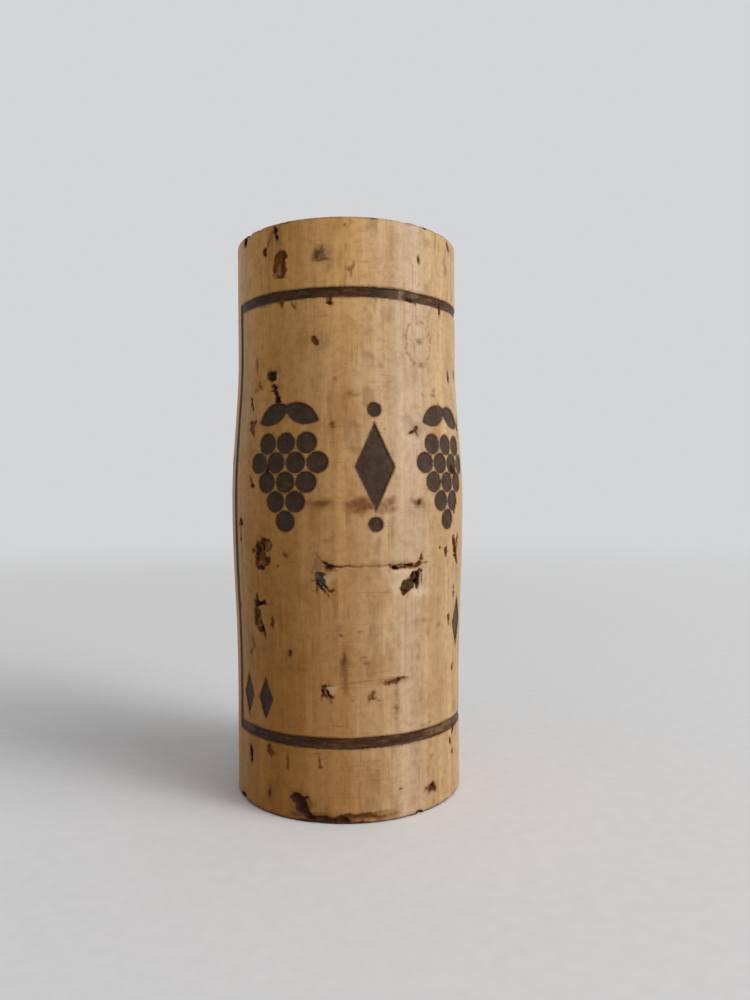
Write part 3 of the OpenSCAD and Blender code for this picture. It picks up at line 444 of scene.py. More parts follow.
class Skin:
    """What each lattice point carries: relief, distance into the burnt print, and paint."""

    def __init__(self):
        shape = (ROWS + 1, COLUMNS)
        self.depth = np.zeros(shape)
        self.ink = np.full(shape, -1.0)
        self.pit = np.zeros(shape + (4,))
        self.paint = np.zeros(shape + (4,))
        self.cell = np.full(shape, PLAIN)

    def window(self, angle, z, half_w, half_h):
        """Rows, columns and the local x, y of the lattice points round a place."""
        low = int(np.searchsorted(HEIGHTS, z - half_h))
        high = int(np.searchsorted(HEIGHTS, z + half_h, "right"))
        rows = np.arange(max(low, 0), min(high, ROWS + 1))
        reach = math.degrees(half_w / MEAN_R)
        first = math.floor((angle - reach + 180.0) / COLUMN_STEP)
        last = math.ceil((angle + reach + 180.0) / COLUMN_STEP)
        steps = np.arange(first, last + 1)
        x = np.radians(steps * COLUMN_STEP - 180.0 - angle) * MEAN_R
        y = HEIGHTS[rows] - z
        return np.ix_(rows, steps % COLUMNS), *np.meshgrid(x, y)

    def refine(self, at, where, size):
        """Asks for cells no larger than that size where a condition holds."""
        self.cell[at] = np.where(where, np.minimum(self.cell[at], size), self.cell[at])

    def carve(self, at, depth):
        self.depth[at] = np.maximum(self.depth[at], depth)

    def burn(self, at, inside):
        self.ink[at] = np.maximum(self.ink[at], inside)

    def sink(self, at, tint, inside):
        """Marks a pit's dirt. Its level is a half at the pit's edge and rises inwards."""
        level = np.clip(0.5 + inside / (2 * PIT_EDGE), 0, 1)
        under = self.pit[at]
        over = smooth(0.2, 0.8, level)
        blend(under, tint, over, over + under[..., 3] * (1 - over))
        under[..., 3] = np.maximum(under[..., 3], level)
        self.pit[at] = under

    def lay(self, at, tint, strength):
        """Paints over what is there with a tint, at a strength from 0 to 1."""
        under = self.paint[at]
        alpha = strength + under[..., 3] * (1 - strength)
        blend(under, tint, strength, alpha)
        under[..., 3] = alpha
        self.paint[at] = under

    def oval(self, angle, z, width, tall, lean, ragged):
        """Distance into an uneven oval, in millimetres, round its place."""
        small = min(width, tall)
        reach = max(width, tall) / 2 + OVAL_REACH
        at, x, y = self.window(angle, z, reach, reach)
        stray = min(0.22 * small + 0.05, MOST_STRAY)
        along, up = turned(x + MIDDLE[at] * stray, y + MIDDLE_B[at] * stray,
                           -math.radians(lean))
        q = np.hypot(along / (width / 2), up / (tall / 2))
        return at, (1 - q) * small / 2 + min(ragged * small, MOST_RAGGED) * FINE[at]

    def add_pore(self, angle, z, width, tall, depth, tint, lean=0):
        at, inside = self.oval(angle, z, width, tall, lean, ragged=0.16)
        # the wall slopes over a third of the pore's smaller side, and 0.3 mm at most
        wall = min(0.3, 0.3 * min(width, tall)) + 0.06
        self.carve(at, smooth(-0.04, wall, inside) * depth * (0.85 + 0.3 * FINE[at]))
        self.sink(at, tint, inside)
        self.refine(at, inside > -0.18, FINE_CELL)

    def add_stain(self, angle, z, width, tall, tint, strength, lean=0):
        at, inside = self.oval(angle, z, width, tall, lean, ragged=0.1)
        small = min(width, tall)
        laid = smooth(-0.3 * small, 0.3 * small, inside) * strength
        self.lay(at, tint, laid)
        self.refine(at, laid > 0.05, FINE_CELL if small < THIN_STAIN else STAINED)

    def add_ring(self):
        """A faint scalloped ring, drawn by a thin line that comes and goes."""
        at, x, y = self.window(RING_ANGLE, RING_Z, RING_HALF_W + OVAL_REACH,
                               RING_HALF_H + OVAL_REACH)
        x = (x + RING_STRAY * MIDDLE[at]) / RING_HALF_W
        y = (y + RING_STRAY * MIDDLE_B[at]) / RING_HALF_H
        scallops = RING_SCALLOP * np.abs(np.sin(5 * np.arctan2(y, x)))
        away = np.abs(np.hypot(x, y) - scallops - 1) * RING_HALF_W
        there = smooth(-0.6, 0.5, FINE[at] + MIDDLE_B[at])
        laid = smooth(0.26, 0.04, away) * RING_STRENGTH * there
        self.lay(at, FUME, laid)
        self.refine(at, laid > 0.04, FINE_CELL)

    def add_crack(self):
        """A level crack: wide, deep and dark at both ends, and a brown hair between."""
        middle = (CRACK_START + CRACK_END) / 2
        half = math.radians(CRACK_END - CRACK_START) / 2 * MEAN_R
        at, x, y = self.window(middle, CRACK_Z, half + 0.3, 0.7)
        wander = 0.10 * MIDDLE[at] + 0.05 * FINE[at]
        share = np.abs(x) / half
        opening = CRACK_HALF_W * (0.45 + 0.6 * share ** 2)
        inside = opening - np.abs(y - wander) - 0.6 * smooth(0.92, 1.02, share)
        self.carve(at, smooth(-0.06, 0.08, inside) * CRACK_DEPTH * (0.12 + 0.88 * share ** 2))
        self.sink(at, BROWN, inside - 0.05 - 0.06 * smooth(0.6, 0.2, share))
        self.sink(at, DARK, inside - 0.5 * smooth(0.8, 0.5, share))
        self.refine(at, inside > -0.15, FINE_CELL)

    def stamp(self, angle, foot, w, h, shape):
        """Burns an ornament that stands on its foot. shape(x, y) is how far a point lies
        inside it, from its middle."""
        at, x, y = self.window(angle, foot + h / 2, w / 2 + STAMP_REACH, h / 2 + STAMP_REACH)
        self.burn(at, shape(MEAN_R * np.sin(x / MEAN_R), y))


# ---- Burnt shapes: how far a point lies inside each one, from the shape's own middle

def circle(x, y, cx, cy, d):
    return d / 2 - np.hypot(x - cx, y - cy)


def lozenge(x, y, w, h):
    across = np.abs(x) / (w / 2) + np.abs(y) / (h / 2)
    return (1 - across) * (w * h / 4) / math.hypot(w / 2, h / 2)


def leaf(x, y, lean):
    """Two arcs that meet at the points of the leaf."""
    arc_r = (LEAF_LEN ** 2 + LEAF_W ** 2) / (4 * LEAF_W)
    along, up = turned(x, y, math.radians(lean))
    return arc_r - np.hypot(np.abs(along) + arc_r - LEAF_W / 2, up)


def grape_bunch(x, y):
    """Grapes in rows with the point down, under two leaves."""
    pitch = GRAPE_D + GRAPE_GAP
    row_pitch = pitch * math.sin(math.radians(60))
    lowest = GRAPE_D / 2 - MOTIF_H / 2
    parts = [circle(x, y, (i - (count - 1) / 2) * pitch, lowest + row * row_pitch, GRAPE_D)
             for row, count in enumerate(GRAPE_ROWS) for i in range(count)]
    leaf_y = MOTIF_H / 2 - LEAF_W / 2
    parts += [leaf(x - side * LEAF_X, y - leaf_y, side * LEAF_LEAN) for side in (-1, 1)]
    return np.maximum.reduce(parts)


def tall_lozenge(x, y):
    """A tall lozenge between two dots."""
    dot_y = (MOTIF_H - DOT_D) / 2
    return np.maximum.reduce([
        lozenge(x, y, LOZENGE_W, MOTIF_H - 2 * (DOT_D + DOT_GAP)),
        circle(x, y, 0, dot_y, DOT_D), circle(x, y, 0, -dot_y, DOT_D)])


def burn_frame(skin):
    half = math.radians(FRAME_SPAN) / 2 * MEAN_R + UPRIGHT_W / 2
    for z, w in ((UPPER_LINE_Z, UPPER_LINE_W), (LOWER_LINE_Z, LOWER_LINE_W)):
        at, x, y = skin.window(FRAME_START + FRAME_SPAN / 2, z, half + LINE_REACH,
                               w / 2 + LINE_REACH)
        wobble = LINE_WOBBLE * COARSE[at]
        skin.burn(at, np.minimum(w / 2 - np.abs(y + wobble), half - np.abs(x)))
    for angle in (FRAME_START, FRAME_START + FRAME_SPAN):
        at, x, y = skin.window(angle, FRAME_MIDDLE, UPRIGHT_W / 2 + UPRIGHT_REACH,
                               FRAME_HALF)
        skin.burn(at, UPRIGHT_W / 2 - np.abs(x))


def burn_ornaments(skin):
    for i in range(MOTIF_COUNT):
        skin.stamp(MOTIF_FIRST + i * MOTIF_STEP, MOTIF_TOP_Z - MOTIF_H, MOTIF_W, MOTIF_H,
                   tall_lozenge if i % 2 else grape_bunch)
    for i in range(SMALL_COUNT):
        skin.stamp(SMALL_FIRST + i * SMALL_STEP, SMALL_Z, SMALL_W, SMALL_H,
                   lambda x, y: lozenge(x, y, SMALL_W, SMALL_H))
    for angle in CORNER_ANGLES:
        skin.stamp(angle, CORNER_Z, CORNER_W, CORNER_H,
                   lambda x, y: lozenge(x, y, CORNER_W, CORNER_H))


def past_rim(upper):
    """How far past one end's rim each row lies, along the skin."""
    return HEIGHTS - BODY_H if upper else -HEIGHTS


def cut_slots(skin, upper):
    """Slots across the growth layers in one flat end."""
    past = past_rim(upper)
    r = np.maximum((TOP_R if upper else BOTTOM_R) - past, 0)[:, None]
    angle = np.radians(ANGLES)[None, :]
    across, along = turned(r * np.sin(angle), -r * np.cos(angle),
                           math.radians(LAYER_ANGLE - 90))
    on_end = (past > END_START)[:, None]
    for cx, cy, length, width, depth in END_SLOTS:
        cx = cx if upper else -cx
        q = np.hypot((across - cx + 0.1 * MIDDLE) / (length / 2),
                     (along - cy + 0.1 * MIDDLE_B) / (width / 2))
        inside = np.where(on_end, (1 - q) * width / 2, -1.0)
        at = np.nonzero(inside > -0.2)
        skin.carve(at, (smooth(-0.02, 0.2, inside) * depth)[at])
        skin.refine(np.nonzero(inside > -0.08), True, STAINED)
        skin.sink(at, DARK, inside[at])


def wear_rim(skin, upper):
    """A worn rim: a little everywhere, and more in places."""
    past = past_rim(upper)
    edge = np.exp(-(past / RIM_WEAR_W) ** 2)[:, None]
    skin.depth += edge * (0.01 + 0.06 * smooth(0.25, 0.8, MIDDLE) + 0.02 * np.abs(FINE))
    skin.cell[np.abs(past) < END_START] = FINE_CELL


def paint_skin():
    skin = Skin()
    burn_frame(skin)
    burn_ornaments(skin)
    skin.depth = np.maximum(skin.depth, BRAND_DEPTH * smooth(-0.05, 0.08, skin.ink))
    skin.cell[np.abs(skin.ink) < EDGE_REACH] = FINE_CELL
    for stain in STAINS:
        skin.add_stain(*stain)
    skin.add_ring()
    skin.add_crack()
    for pore in FRONT_PORES + BACK_PORES:
        skin.add_pore(*pore)
    for upper in (True, False):
        cut_slots(skin, upper)
        wear_rim(skin, upper)
    # the skin itself is never quite round: slow dents, and streaks along the grain
    skin.depth += DENT * (1 + COARSE) + STREAK_DENT * (1 + STREAKS)
    return skin


# ---- The skin's mesh

def split(cell, row, column, size):
    """Halves a square cell until it is as small as every point in it asks for."""
    if size <= cell[row:row + size + 1, column:column + size + 1].min():
        return [(row, column, size)]
    half = size // 2
    return [small for r in (row, row + half) for c in (column, column + half)
            for small in split(cell, r, c, half)]


def cells_of(skin):
    """Square cells as (row, column, size): small over fine detail and large elsewhere."""
    wrapped = np.concatenate([skin.cell, skin.cell[:, :1]], axis=1)
    return [small for row in range(FIRST_ROW, ROWS - PLAIN, PLAIN)
            for column in range(0, COLUMNS, PLAIN)
            for small in split(wrapped, row, column, PLAIN)]


def ring_of(cell, used):
    """A cell's corners, and the points that its smaller neighbours put on its edges."""
    row, column, size = cell
    walk = [(row, column + i) for i in range(size)]
    walk += [(row + i, column + size) for i in range(size)]
    walk += [(row + size, column + size - i) for i in range(size)]
    walk += [(row + size - i, column) for i in range(size)]
    return [(r, c % COLUMNS) for r, c in walk if used[r, c % COLUMNS]]


def weave(cells):
    """Which lattice points the cells use, and every face as a ring of such points. The
    last two faces close the ends."""
    used = np.zeros((ROWS + 1, COLUMNS), bool)
    for row, column, size in cells:
        for r in (row, row + size):
            for c in (column, column + size):
                used[r, c % COLUMNS] = True
    last_row = max(row + size for row, column, size in cells)
    lower, upper = ([(r, c) for c in range(COLUMNS) if used[r, c]]
                    for r in (FIRST_ROW, last_row))
    return used, [ring_of(cell, used) for cell in cells] + [lower[::-1], upper]


def make_cork():
    skin = paint_skin()
    used, rings = weave(cells_of(skin))
    rows, columns = np.nonzero(used)
    index = np.full(used.shape, -1)
    index[rows, columns] = np.arange(len(rows))

    r, z, out, up = outline(HEIGHTS[rows])
    depth = skin.depth[rows, columns]
    r = np.maximum(r - depth * out, 0)
    z = np.clip(z - depth * up, 0, BODY_H)
    angle = np.radians(ANGLES[columns])
    points = np.stack([r * np.sin(angle), -r * np.cos(angle), z], 1) * MM

    mesh = bpy.data.meshes.new("cork_skin")
    mesh.from_pydata(points.tolist(), [], [[int(index[p]) for p in ring] for ring in rings])
    mesh.shade_smooth()
    layer = mesh.attributes.new("ink", "FLOAT", "POINT")
    layer.data.foreach_set("value", skin.ink[rows, columns].astype(np.float32))
    for name, values in (("pit", skin.pit), ("paint", skin.paint)):
        layer = mesh.attributes.new(name, "FLOAT_COLOR", "POINT")
        layer.data.foreach_set("color", values[rows, columns].astype(np.float32).ravel())
    mesh.validate()
    mesh.update()
    return add("cork_skin", mesh)


def add(name, data):
    """Puts a mesh, a lamp or a camera in the scene."""
    thing = bpy.data.objects.new(name, data)
    bpy.context.collection.objects.link(thing)
    return thing


# ---- Materials

class Graph:
    """Builds a material's or the world's node tree with short calls."""

    def __init__(self, owner):
        owner.use_nodes = True
        self.tree = owner.node_tree
        self.tree.nodes.clear()

    def node(self, kind, inputs=(), **settings):
        """A new node. Its inputs are given in order, or by name or number."""
        node = self.tree.nodes.new("ShaderNode" + kind)
        for key, value in settings.items():
            setattr(node, key, value)
        by_key = inputs if isinstance(inputs, dict) else dict(enumerate(inputs))
        for key, value in by_key.items():
            self.put(node.inputs[key], value)
        return node

    def put(self, socket, value):
        """Sets a socket, or links it to another one or to a node's first output. A colour
        is three numbers."""
        if isinstance(value, bpy.types.Node):
            value = value.outputs[0]
        if isinstance(value, bpy.types.NodeSocket):
            self.tree.links.new(value, socket)
        else:
            socket.default_value = (*value, 1) if socket.type == "RGBA" else value

    def math(self, operation, *values, clamp=False):
        return self.node("Math", values, operation=operation, use_clamp=clamp)

    def times(self, a, b, clamp=False):
        return self.math("MULTIPLY", a, b, clamp=clamp)

    def minus(self, a, b, clamp=False):
        return self.math("SUBTRACT", a, b, clamp=clamp)

    def scaled(self, value, by, plus):
        return self.math("MULTIPLY_ADD", value, by, plus)

    def pushed(self, value, noise, by):
        """Pushes a value up and down by a noise, which has its middle at a half."""
        return self.scaled(self.minus(noise, 0.5), by, value)

    def span(self, value, low, high, to_low=0, to_high=1):
        """Maps low..high to to_low..to_high with soft ends."""
        return self.node("MapRange", (value, low, high, to_low, to_high),
                         interpolation_type="SMOOTHSTEP")

    def mix(self, share, a, b, blend="MIX"):
        """Mixes two colours, with inputs 6 and 7 and output 2, which are for colours."""
        node = self.node("Mix", {0: share, 6: a, 7: b}, data_type="RGBA", blend_type=blend)
        return node.outputs[2]

    def noise(self, vector, scale, detail=2, roughness=0.5, distortion=0):
        return self.node("TexNoise", {
            "Vector": vector, "Scale": scale, "Detail": detail, "Roughness": roughness,
            "Distortion": distortion})

    def stretch(self, vector, x, y, z):
        return self.node("VectorMath", (vector, (x, y, z)), operation="MULTIPLY")

    def ramp(self, value, stops):
        node = self.node("ValToRGB", {"Fac": value})
        elements = node.color_ramp.elements
        while len(elements) < len(stops):
            elements.new(0.5)
        for element, (place, colour) in zip(elements, stops):
            element.position = place
            element.color = (*colour, 1)
        return node

    def attribute(self, name):
        return self.node("Attribute", attribute_name=name).outputs


# Tones of the growth layers, from one side of the plug to the other, with painted light in
# them: the paler, greyer tones from 0 to 3.7 mm are a painted highlight, and the paler
# tones beyond them on that side are partly painted sheen:
# (millimetres across the layers, linear colour)
LAYER_AND_SHEEN_TONES = (
    (-11.8, (0.66, 0.375, 0.155)), (-10.4, (0.66, 0.365, 0.14)),
    (-9.6, (0.66, 0.355, 0.118)), (-7.9, (0.6, 0.312, 0.092)),
    (-5.6, (0.6, 0.34, 0.14)), (-3, (0.6, 0.346, 0.145)),
    (0, (0.615, 0.395, 0.21)), (2.2, (0.6, 0.422, 0.268)),
    (3.7, (0.585, 0.415, 0.28)), (6.5, (0.57, 0.38, 0.2)),
    (11.8, (0.57, 0.38, 0.205)),
)
LAYER_REACH = 11.8

# Colours that the wood's tone is multiplied by
# painted shade that darkens the tone towards the lower end, and painted light that lightens it towards
# the upper end
LOWER_PAINTED_SHADE = (0.77, 0.65, 0.46)
UPPER_PAINTED_LIGHT = (1.14, 1.12, 1.03)
BROAD_SHADE = (0.8, 0.72, 0.62)
BROAD_LIGHT = (1.12, 1.12, 1.12)
FINE_SHADE = (0.9, 0.86, 0.8)
BLOTCH_SHADE = (0.8, 0.7, 0.58)
HAIR_SHADE = (0.62, 0.48, 0.36)
PIT_SHADE = (0.62, 0.44, 0.3)

# Colours that lie over it
LAYER_LINE = (0.26, 0.14, 0.06)
MARK = (0.27, 0.145, 0.06)
SPECK = (0.11, 0.05, 0.022)
LIGHT_INK = (0.072, 0.044, 0.029)
LINE_INK = (0.092, 0.042, 0.018)
UPRIGHT_INK = (0.135, 0.046, 0.008)
DARK_INK = (0.032, 0.015, 0.007)
SCORCH = (0.2, 0.085, 0.026)
MARGIN = (0.085, 0.038, 0.018)
LOWER_END_TONE = (0.1, 0.03, 0.03)
UPPER_RIM_TONE = (0.16, 0.085, 0.042)

# The frame's uprights lie on the left, where |y| is less than this share of |x|
UPRIGHT_SPREAD = 0.5

# How deep the fine bumps of the material look
BUMP = 0.06


class CorkGraph(Graph):
    """The graph of the cork's material. Each lay_ function lays something over its tone."""

    def __init__(self, material):
        super().__init__(material)
        place = self.node("TexCoord").outputs["Object"]
        self.place = self.stretch(place, 1 / MM, 1 / MM, 1 / MM)
        self.x, self.y, self.z = self.node("SeparateXYZ", [self.place]).outputs
        # millimetres across the growth layers, straight and then pushed about a little
        turn = math.radians(LAYER_ANGLE)
        self.straight = self.scaled(self.x, math.sin(turn),
                                    self.times(self.y, -math.cos(turn)))
        across = self.pushed(self.straight, self.grain(0.25, 0.16), 1.8)
        self.across = self.pushed(across, self.grain(0.1, 1.4, 3), 0.7)
        # the layers' tone, which holds a painted highlight and painted sheen on the side towards the
        # lamp
        share = self.scaled(self.across, 0.5 / LAYER_REACH, 0.5)
        self.tone = self.ramp(share, [((mm / LAYER_REACH + 1) / 2, colour)
                                      for mm, colour in LAYER_AND_SHEEN_TONES])
        # noises that several functions use
        self.streak = self.grain(0.11, 3, 4, 0.6, 0.3)
        self.fray = self.noise(self.place, 3.6, 4, 0.65)
        self.brush = self.noise(self.stretch(self.place, 0.3, 0.3, 2.4), 2, 4, 0.65)

    def grain(self, squash, scale, *rest):
        """Noise along the cork: heights count for that share of themselves."""
        return self.noise(self.stretch(self.place, 1, 1, squash), scale, *rest)

    def tint(self, by, share):
        """Multiplies the tone by a colour, by a share of the way."""
        self.tone = self.mix(share, self.tone, self.mix(1, self.tone, by, "MULTIPLY"))

    def cover(self, colour, share):
        self.tone = self.mix(share, self.tone, colour)


def lay_painted_shade_by_height(g):
    """Painted shade, darker towards the lower end, and painted light, lighter towards the
    upper end, both most on the left side, seen from the front."""
    g.tint(LOWER_PAINTED_SHADE, g.times(g.span(g.z, 2, 48, 1, 0),
                                g.span(g.straight, -9.5, 3, 1, 0.3)))
    g.tint(UPPER_PAINTED_LIGHT, g.times(g.span(g.z, 36, 50),
                                g.span(g.straight, 5, -4, 0.2, 1)))


def lay_streaks(g):
    """Soft streaks along the grain, broad and fine, and soft blotches."""
    broad = g.grain(0.035, 0.95, 3, 0.6)
    g.tint(BROAD_SHADE, g.span(broad, 0.4, 0.66, 0, 0.5))
    g.tint(BROAD_LIGHT, g.span(broad, 0.46, 0.3, 0, 0.8))
    calm = g.span(g.grain(0.3, 0.35), 0.38, 0.62)
    g.tint(FINE_SHADE, g.times(g.span(g.streak, 0.46, 0.68), calm))
    blotch = g.grain(0.7, 0.33, 4, 0.62)
    g.tint(BLOTCH_SHADE, g.span(blotch, 0.48, 0.7, 0, 0.7))
    mottle = g.noise(g.place, 1.7, 3, 0.6)
    g.tint(FINE_SHADE, g.span(mottle, 0.45, 0.65))


def lay_layer_lines(g):
    """Thin lines between the growth layers, in patches."""
    layer = g.noise(g.node("CombineXYZ", [g.across]), 0.75, 1)
    line = g.span(g.math("ABSOLUTE", g.minus(layer, 0.5)), 0, 0.03, 1, 0)
    patchy = g.span(g.noise(g.place, 0.5), 0.48, 0.66)
    g.cover(LAYER_LINE, g.times(g.times(line, patchy), 0.4))


def lay_hairs(g):
    """Fine hairs round the plug, where the skin runs along the layers."""
    aside = g.math("ABSOLUTE", g.math("DIVIDE", g.straight, MEAN_R))
    facing = g.minus(1, g.math("POWER", aside, 1.6), clamp=True)
    hair = g.noise(g.stretch(g.place, 0.22, 0.22, 6.5), 1, 4, 0.7)
    patchy = g.span(g.grain(0.5, 0.28), 0.42, 0.62)
    hairs = g.times(g.times(g.span(hair, 0.54, 0.72), facing), patchy)
    g.tint(HAIR_SHADE, g.times(hairs, 0.6))
    return hairs


def lay_marks(g):
    """Short brown marks and a few tiny specks."""
    mark = g.grain(0.8, 1.25, 4, 0.7, 0.4)
    g.cover(MARK, g.span(mark, 0.66, 0.76, 0, 0.5))
    cell = g.node("TexVoronoi", {"Vector": g.place, "Scale": 0.6}).outputs
    chance = g.node("SeparateColor", [cell["Color"]]).outputs
    size = g.times(g.minus(chance[0], 0.72, clamp=True), 0.3)
    ragged = g.scaled(g.noise(g.place, 7), 0.1, cell["Distance"])
    speck = g.span(g.minus(size, ragged), -0.06, -0.01)
    g.cover(SPECK, g.times(speck, g.scaled(chance[1], 0.5, 0.3)))
    return speck


def lay_print(g):
    """The burnt print: a dark outline that frays in places, a browner and mottled middle,
    and in the frame's lines streaks along the line."""
    above = g.math("ABSOLUTE", g.minus(g.z, FRAME_MIDDLE))
    left = g.span(g.scaled(g.x, UPRIGHT_SPREAD, g.math("ABSOLUTE", g.y)), 0.1, -0.1)
    upright = g.times(left, g.span(above, FRAME_HALF - 0.4, FRAME_HALF - 0.5))
    level_line = g.span(above, FRAME_HALF - 0.8, FRAME_HALF - 0.6)
    on_line = g.math("MAXIMUM", upright, level_line)
    ink = g.pushed(g.attribute("ink")["Fac"], g.fray, 0.2)
    hairy = g.span(g.noise(g.place, 0.55), 0.46, 0.6, 0.1, 0.65)
    g.cover(SCORCH, g.times(g.span(g.pushed(ink, g.brush, hairy), -0.22, 0), 0.7))
    cloud = g.noise(g.place, 1.3, 4, 0.65)
    inner = g.times(g.span(ink, -0.02, 0.15), g.span(cloud, 0.34, 0.66, 0.45, 1))
    streaky = g.minus(g.span(g.brush, 0.38, 0.62, 0.2, 1.3), 1)
    inner = g.times(inner, g.scaled(on_line, streaky, 1), clamp=True)
    worn = g.times(g.span(g.brush, 0.56, 0.7), g.span(cloud, 0.42, 0.62))
    worn = g.times(worn, g.scaled(on_line, 0.45, 0.12))
    burnt = g.times(g.span(ink, -0.05, 0.05), g.minus(1, worn))
    shade = g.mix(inner, DARK_INK, g.mix(on_line, LIGHT_INK, LINE_INK))
    g.cover(g.mix(g.times(upright, 0.8), shade, UPRIGHT_INK), burnt)
    return burnt


def lay_stains(g):
    """The painted stains, which are uneven and follow the streaks."""
    paint = g.attribute("paint")
    grit = g.noise(g.place, 2.6, 5, 0.75)
    uneven = g.span(g.scaled(g.brush, 0.3, grit), 0.45, 0.82, 0.4, 1.35)
    thick = g.times(paint["Alpha"], paint["Alpha"])
    uneven = g.scaled(thick, g.minus(1, uneven), uneven)
    g.cover(paint["Color"], g.times(paint["Alpha"], uneven, clamp=True))


def lay_pits(g):
    """The pits: a brown margin that frays into the skin, and their own dirt inside, with
    crumbs of bark in it."""
    pit = g.attribute("pit")
    level = g.pushed(pit["Alpha"], g.noise(g.place, 4.2, 4, 0.72), 0.95)
    level = g.times(level, g.span(pit["Alpha"], 0.02, 0.14))
    g.tint(PIT_SHADE, g.span(level, 0.1, 0.5, 0, 0.8))
    g.cover(g.mix(0.25, MARGIN, pit["Color"]), g.span(level, 0.36, 0.6))
    crumb = g.span(g.noise(g.place, 5.5, 3, 0.7), 0.5, 0.66)
    dirt = g.mix(g.times(crumb, 0.4), pit["Color"], BROWN)
    g.cover(dirt, g.span(level, 0.52, 0.92))
    return level, crumb


def lay_rims(g):
    """The lower end and its rim are a dark maroon that fades unevenly up the side, and the upper rim is
    a patchy dark brown.
    """
    creep = g.grain(0.3, 0.9, 3)
    lower_dark = g.times(g.span(g.z, 0.05, 0.34, 1, 0), g.scaled(creep, 0.7, 0.55), clamp=True)
    g.cover(LOWER_END_TONE, lower_dark)
    upper_dark = g.times(g.span(g.z, BODY_H - 0.3, BODY_H - 0.05),
                     g.span(g.z, BODY_H - 0.02, BODY_H, 1, 0.15))
    g.cover(UPPER_RIM_TONE, g.times(upper_dark, g.span(creep, 0.35, 0.6, 0.15, 0.6)))


def cork_material():
    material = bpy.data.materials.new("natural_cork")
    g = CorkGraph(material)
    lay_painted_shade_by_height(g)
    lay_streaks(g)
    lay_layer_lines(g)
    hairs = lay_hairs(g)
    speck = lay_marks(g)
    burnt = lay_print(g)
    lay_stains(g)
    level, crumb = lay_pits(g)
    lay_rims(g)

    rough = g.scaled(g.streak, 0.12, 0.3)
    for rougher in (g.times(burnt, 0.44), g.times(g.span(level, 0.4, 0.6), 0.95)):
        rough = g.math("MAXIMUM", rough, rougher)
    relief = g.scaled(g.streak, 0.5, g.times(g.fray, 0.35))
    for bumps, by in ((hairs, -0.25), (speck, -0.8), (g.times(crumb, level), 0.9)):
        relief = g.scaled(bumps, by, relief)
    bump = g.node("Bump", {"Strength": 0.3, "Distance": BUMP * MM, "Height": relief})
    shader = g.node("BsdfPrincipled", {
        "Base Color": g.tone, "Roughness": rough, "Normal": bump,
        "Specular IOR Level": 0.1})
    g.node("OutputMaterial", [shader])
    return material


# ---- Stage, light and camera

BACKGROUND = (0.66, 0.665, 0.675)
FLOOR_TONE = (0.84, 0.84, 0.845)
FLOOR_BOUNCE = (0.42, 0.42, 0.42)
AMBIENT = 0.385
FLOOR_HALF = 2500

# The floor fades into the background between these distances from the cork
FADE_START, FADE_END = 70, 420

# Lamps: name, angle, elevation, distance, width, height, watts
SOFTBOXES = (
    ("window", 60, 10, 1500, 460, 1500, 14),
    ("sky", 62, 30, 2000, 1500, 1200, 19),
)

CAMERA_DISTANCE, CAMERA_Z = 78.3, 29.41
CAMERA_PAN, CAMERA_TILT, CAMERA_ROLL = 0.0356, -0.0087, -0.0056
LENS, SENSOR_W = 27.26, 36


def floor_material():
    """A matt floor that lends the cork less light than the camera sees in it."""
    material = bpy.data.materials.new("pale_floor")
    g = Graph(material)
    place = g.stretch(g.node("TexCoord").outputs["Object"], 1 / MM, 1 / MM, 0)
    away = g.node("VectorMath", [place], operation="LENGTH").outputs["Value"]
    far = g.span(away, FADE_START, FADE_END)
    grain = g.span(g.noise(place, 0.8, 3), 0.3, 0.7, 0.985, 1.015)
    grey = g.node("CombineColor", [grain] * 3)
    rays = g.node("LightPath").outputs
    seen = g.math("MAXIMUM", rays["Is Camera Ray"], rays["Is Glossy Ray"])
    tone = g.mix(1, g.mix(seen, FLOOR_BOUNCE, FLOOR_TONE), grey, "MULTIPLY")
    matt = g.node("BsdfDiffuse", [tone])
    plain = g.node("Emission", [BACKGROUND])
    both = g.node("MixShader", (g.times(far, seen), matt, plain))
    g.node("OutputMaterial", [both])
    return material


def make_floor():
    mesh = bpy.data.meshes.new("floor")
    half = FLOOR_HALF * MM
    mesh.from_pydata([(-half, -half, 0), (half, -half, 0), (half, half, 0),
                      (-half, half, 0)], [], [(0, 1, 2, 3)])
    mesh.materials.append(floor_material())
    add("floor", mesh)


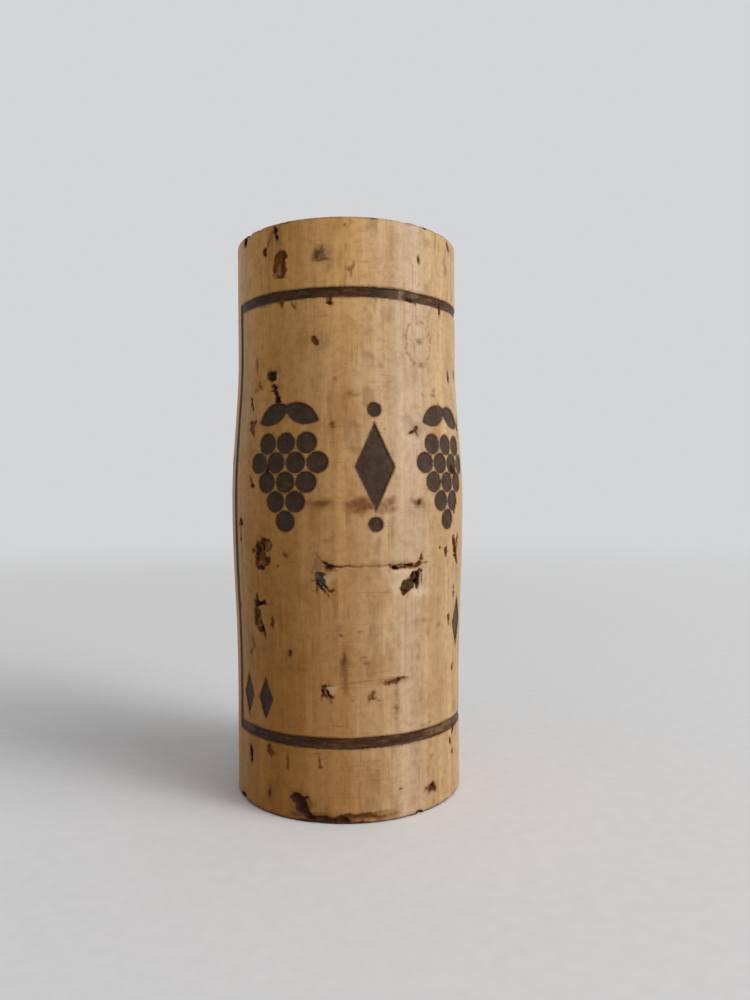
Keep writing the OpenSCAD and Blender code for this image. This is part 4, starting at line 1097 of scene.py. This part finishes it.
def make_world():
    """Even light from all round, and the grey that the camera and gloss see."""
    world = bpy.data.worlds.new("studio")
    bpy.context.scene.world = world
    g = Graph(world)
    rays = g.node("LightPath").outputs
    seen = g.math("MAXIMUM", rays["Is Camera Ray"],
                  g.math("MAXIMUM", rays["Is Glossy Ray"], rays["Is Transmission Ray"]))
    around = g.node("Background", ((1, 1, 1), AMBIENT))
    behind = g.node("Background", (BACKGROUND, 1))
    both = g.node("MixShader", (seen, around, behind))
    g.node("OutputWorld", [both])


def make_softbox(name, angle, elevation, distance, width, height, watts):
    """A rectangular lamp that looks at the cork's middle from an angle round it."""
    lamp = bpy.data.lights.new(name, "AREA")
    lamp.shape = "RECTANGLE"
    lamp.size, lamp.size_y = width * MM, height * MM
    lamp.energy = watts
    light = add(name, lamp)
    turn, rise = math.radians(angle), math.radians(elevation)
    back = Vector((math.sin(turn) * math.cos(rise), -math.cos(turn) * math.cos(rise),
                   math.sin(rise)))
    light.location = Vector((0, 0, BODY_H / 2 * MM)) + back * distance * MM
    light.rotation_euler = back.to_track_quat("Z", "Y").to_euler()
    light.visible_camera = False


def make_camera():
    """Near half the cork's height, almost square on, as close as a telephone focuses."""
    data = bpy.data.cameras.new("camera")
    data.lens, data.sensor_width, data.sensor_fit = LENS, SENSOR_W, "AUTO"
    data.clip_start, data.clip_end = 1 * MM, 20
    camera = add("camera", data)
    upright = Matrix.Rotation(math.pi / 2, 4, "X")
    turn = Matrix.Rotation(-CAMERA_PAN, 4, "Z") @ upright
    tilt = Matrix.Rotation(CAMERA_TILT, 4, "X")
    roll = Matrix.Rotation(CAMERA_ROLL, 4, "Z")
    place = Matrix.Translation((0, -CAMERA_DISTANCE * MM, CAMERA_Z * MM))
    camera.matrix_world = place @ turn @ tilt @ roll
    bpy.context.scene.camera = camera


# ---- The scene

make_camera()
make_floor()
make_world()
for softbox in SOFTBOXES:
    make_softbox(*softbox)

cork = make_cork()
cork.data.materials.append(cork_material())
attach(cork, "root")
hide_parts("cork")

bpy.context.scene.view_settings.view_transform = "Standard"
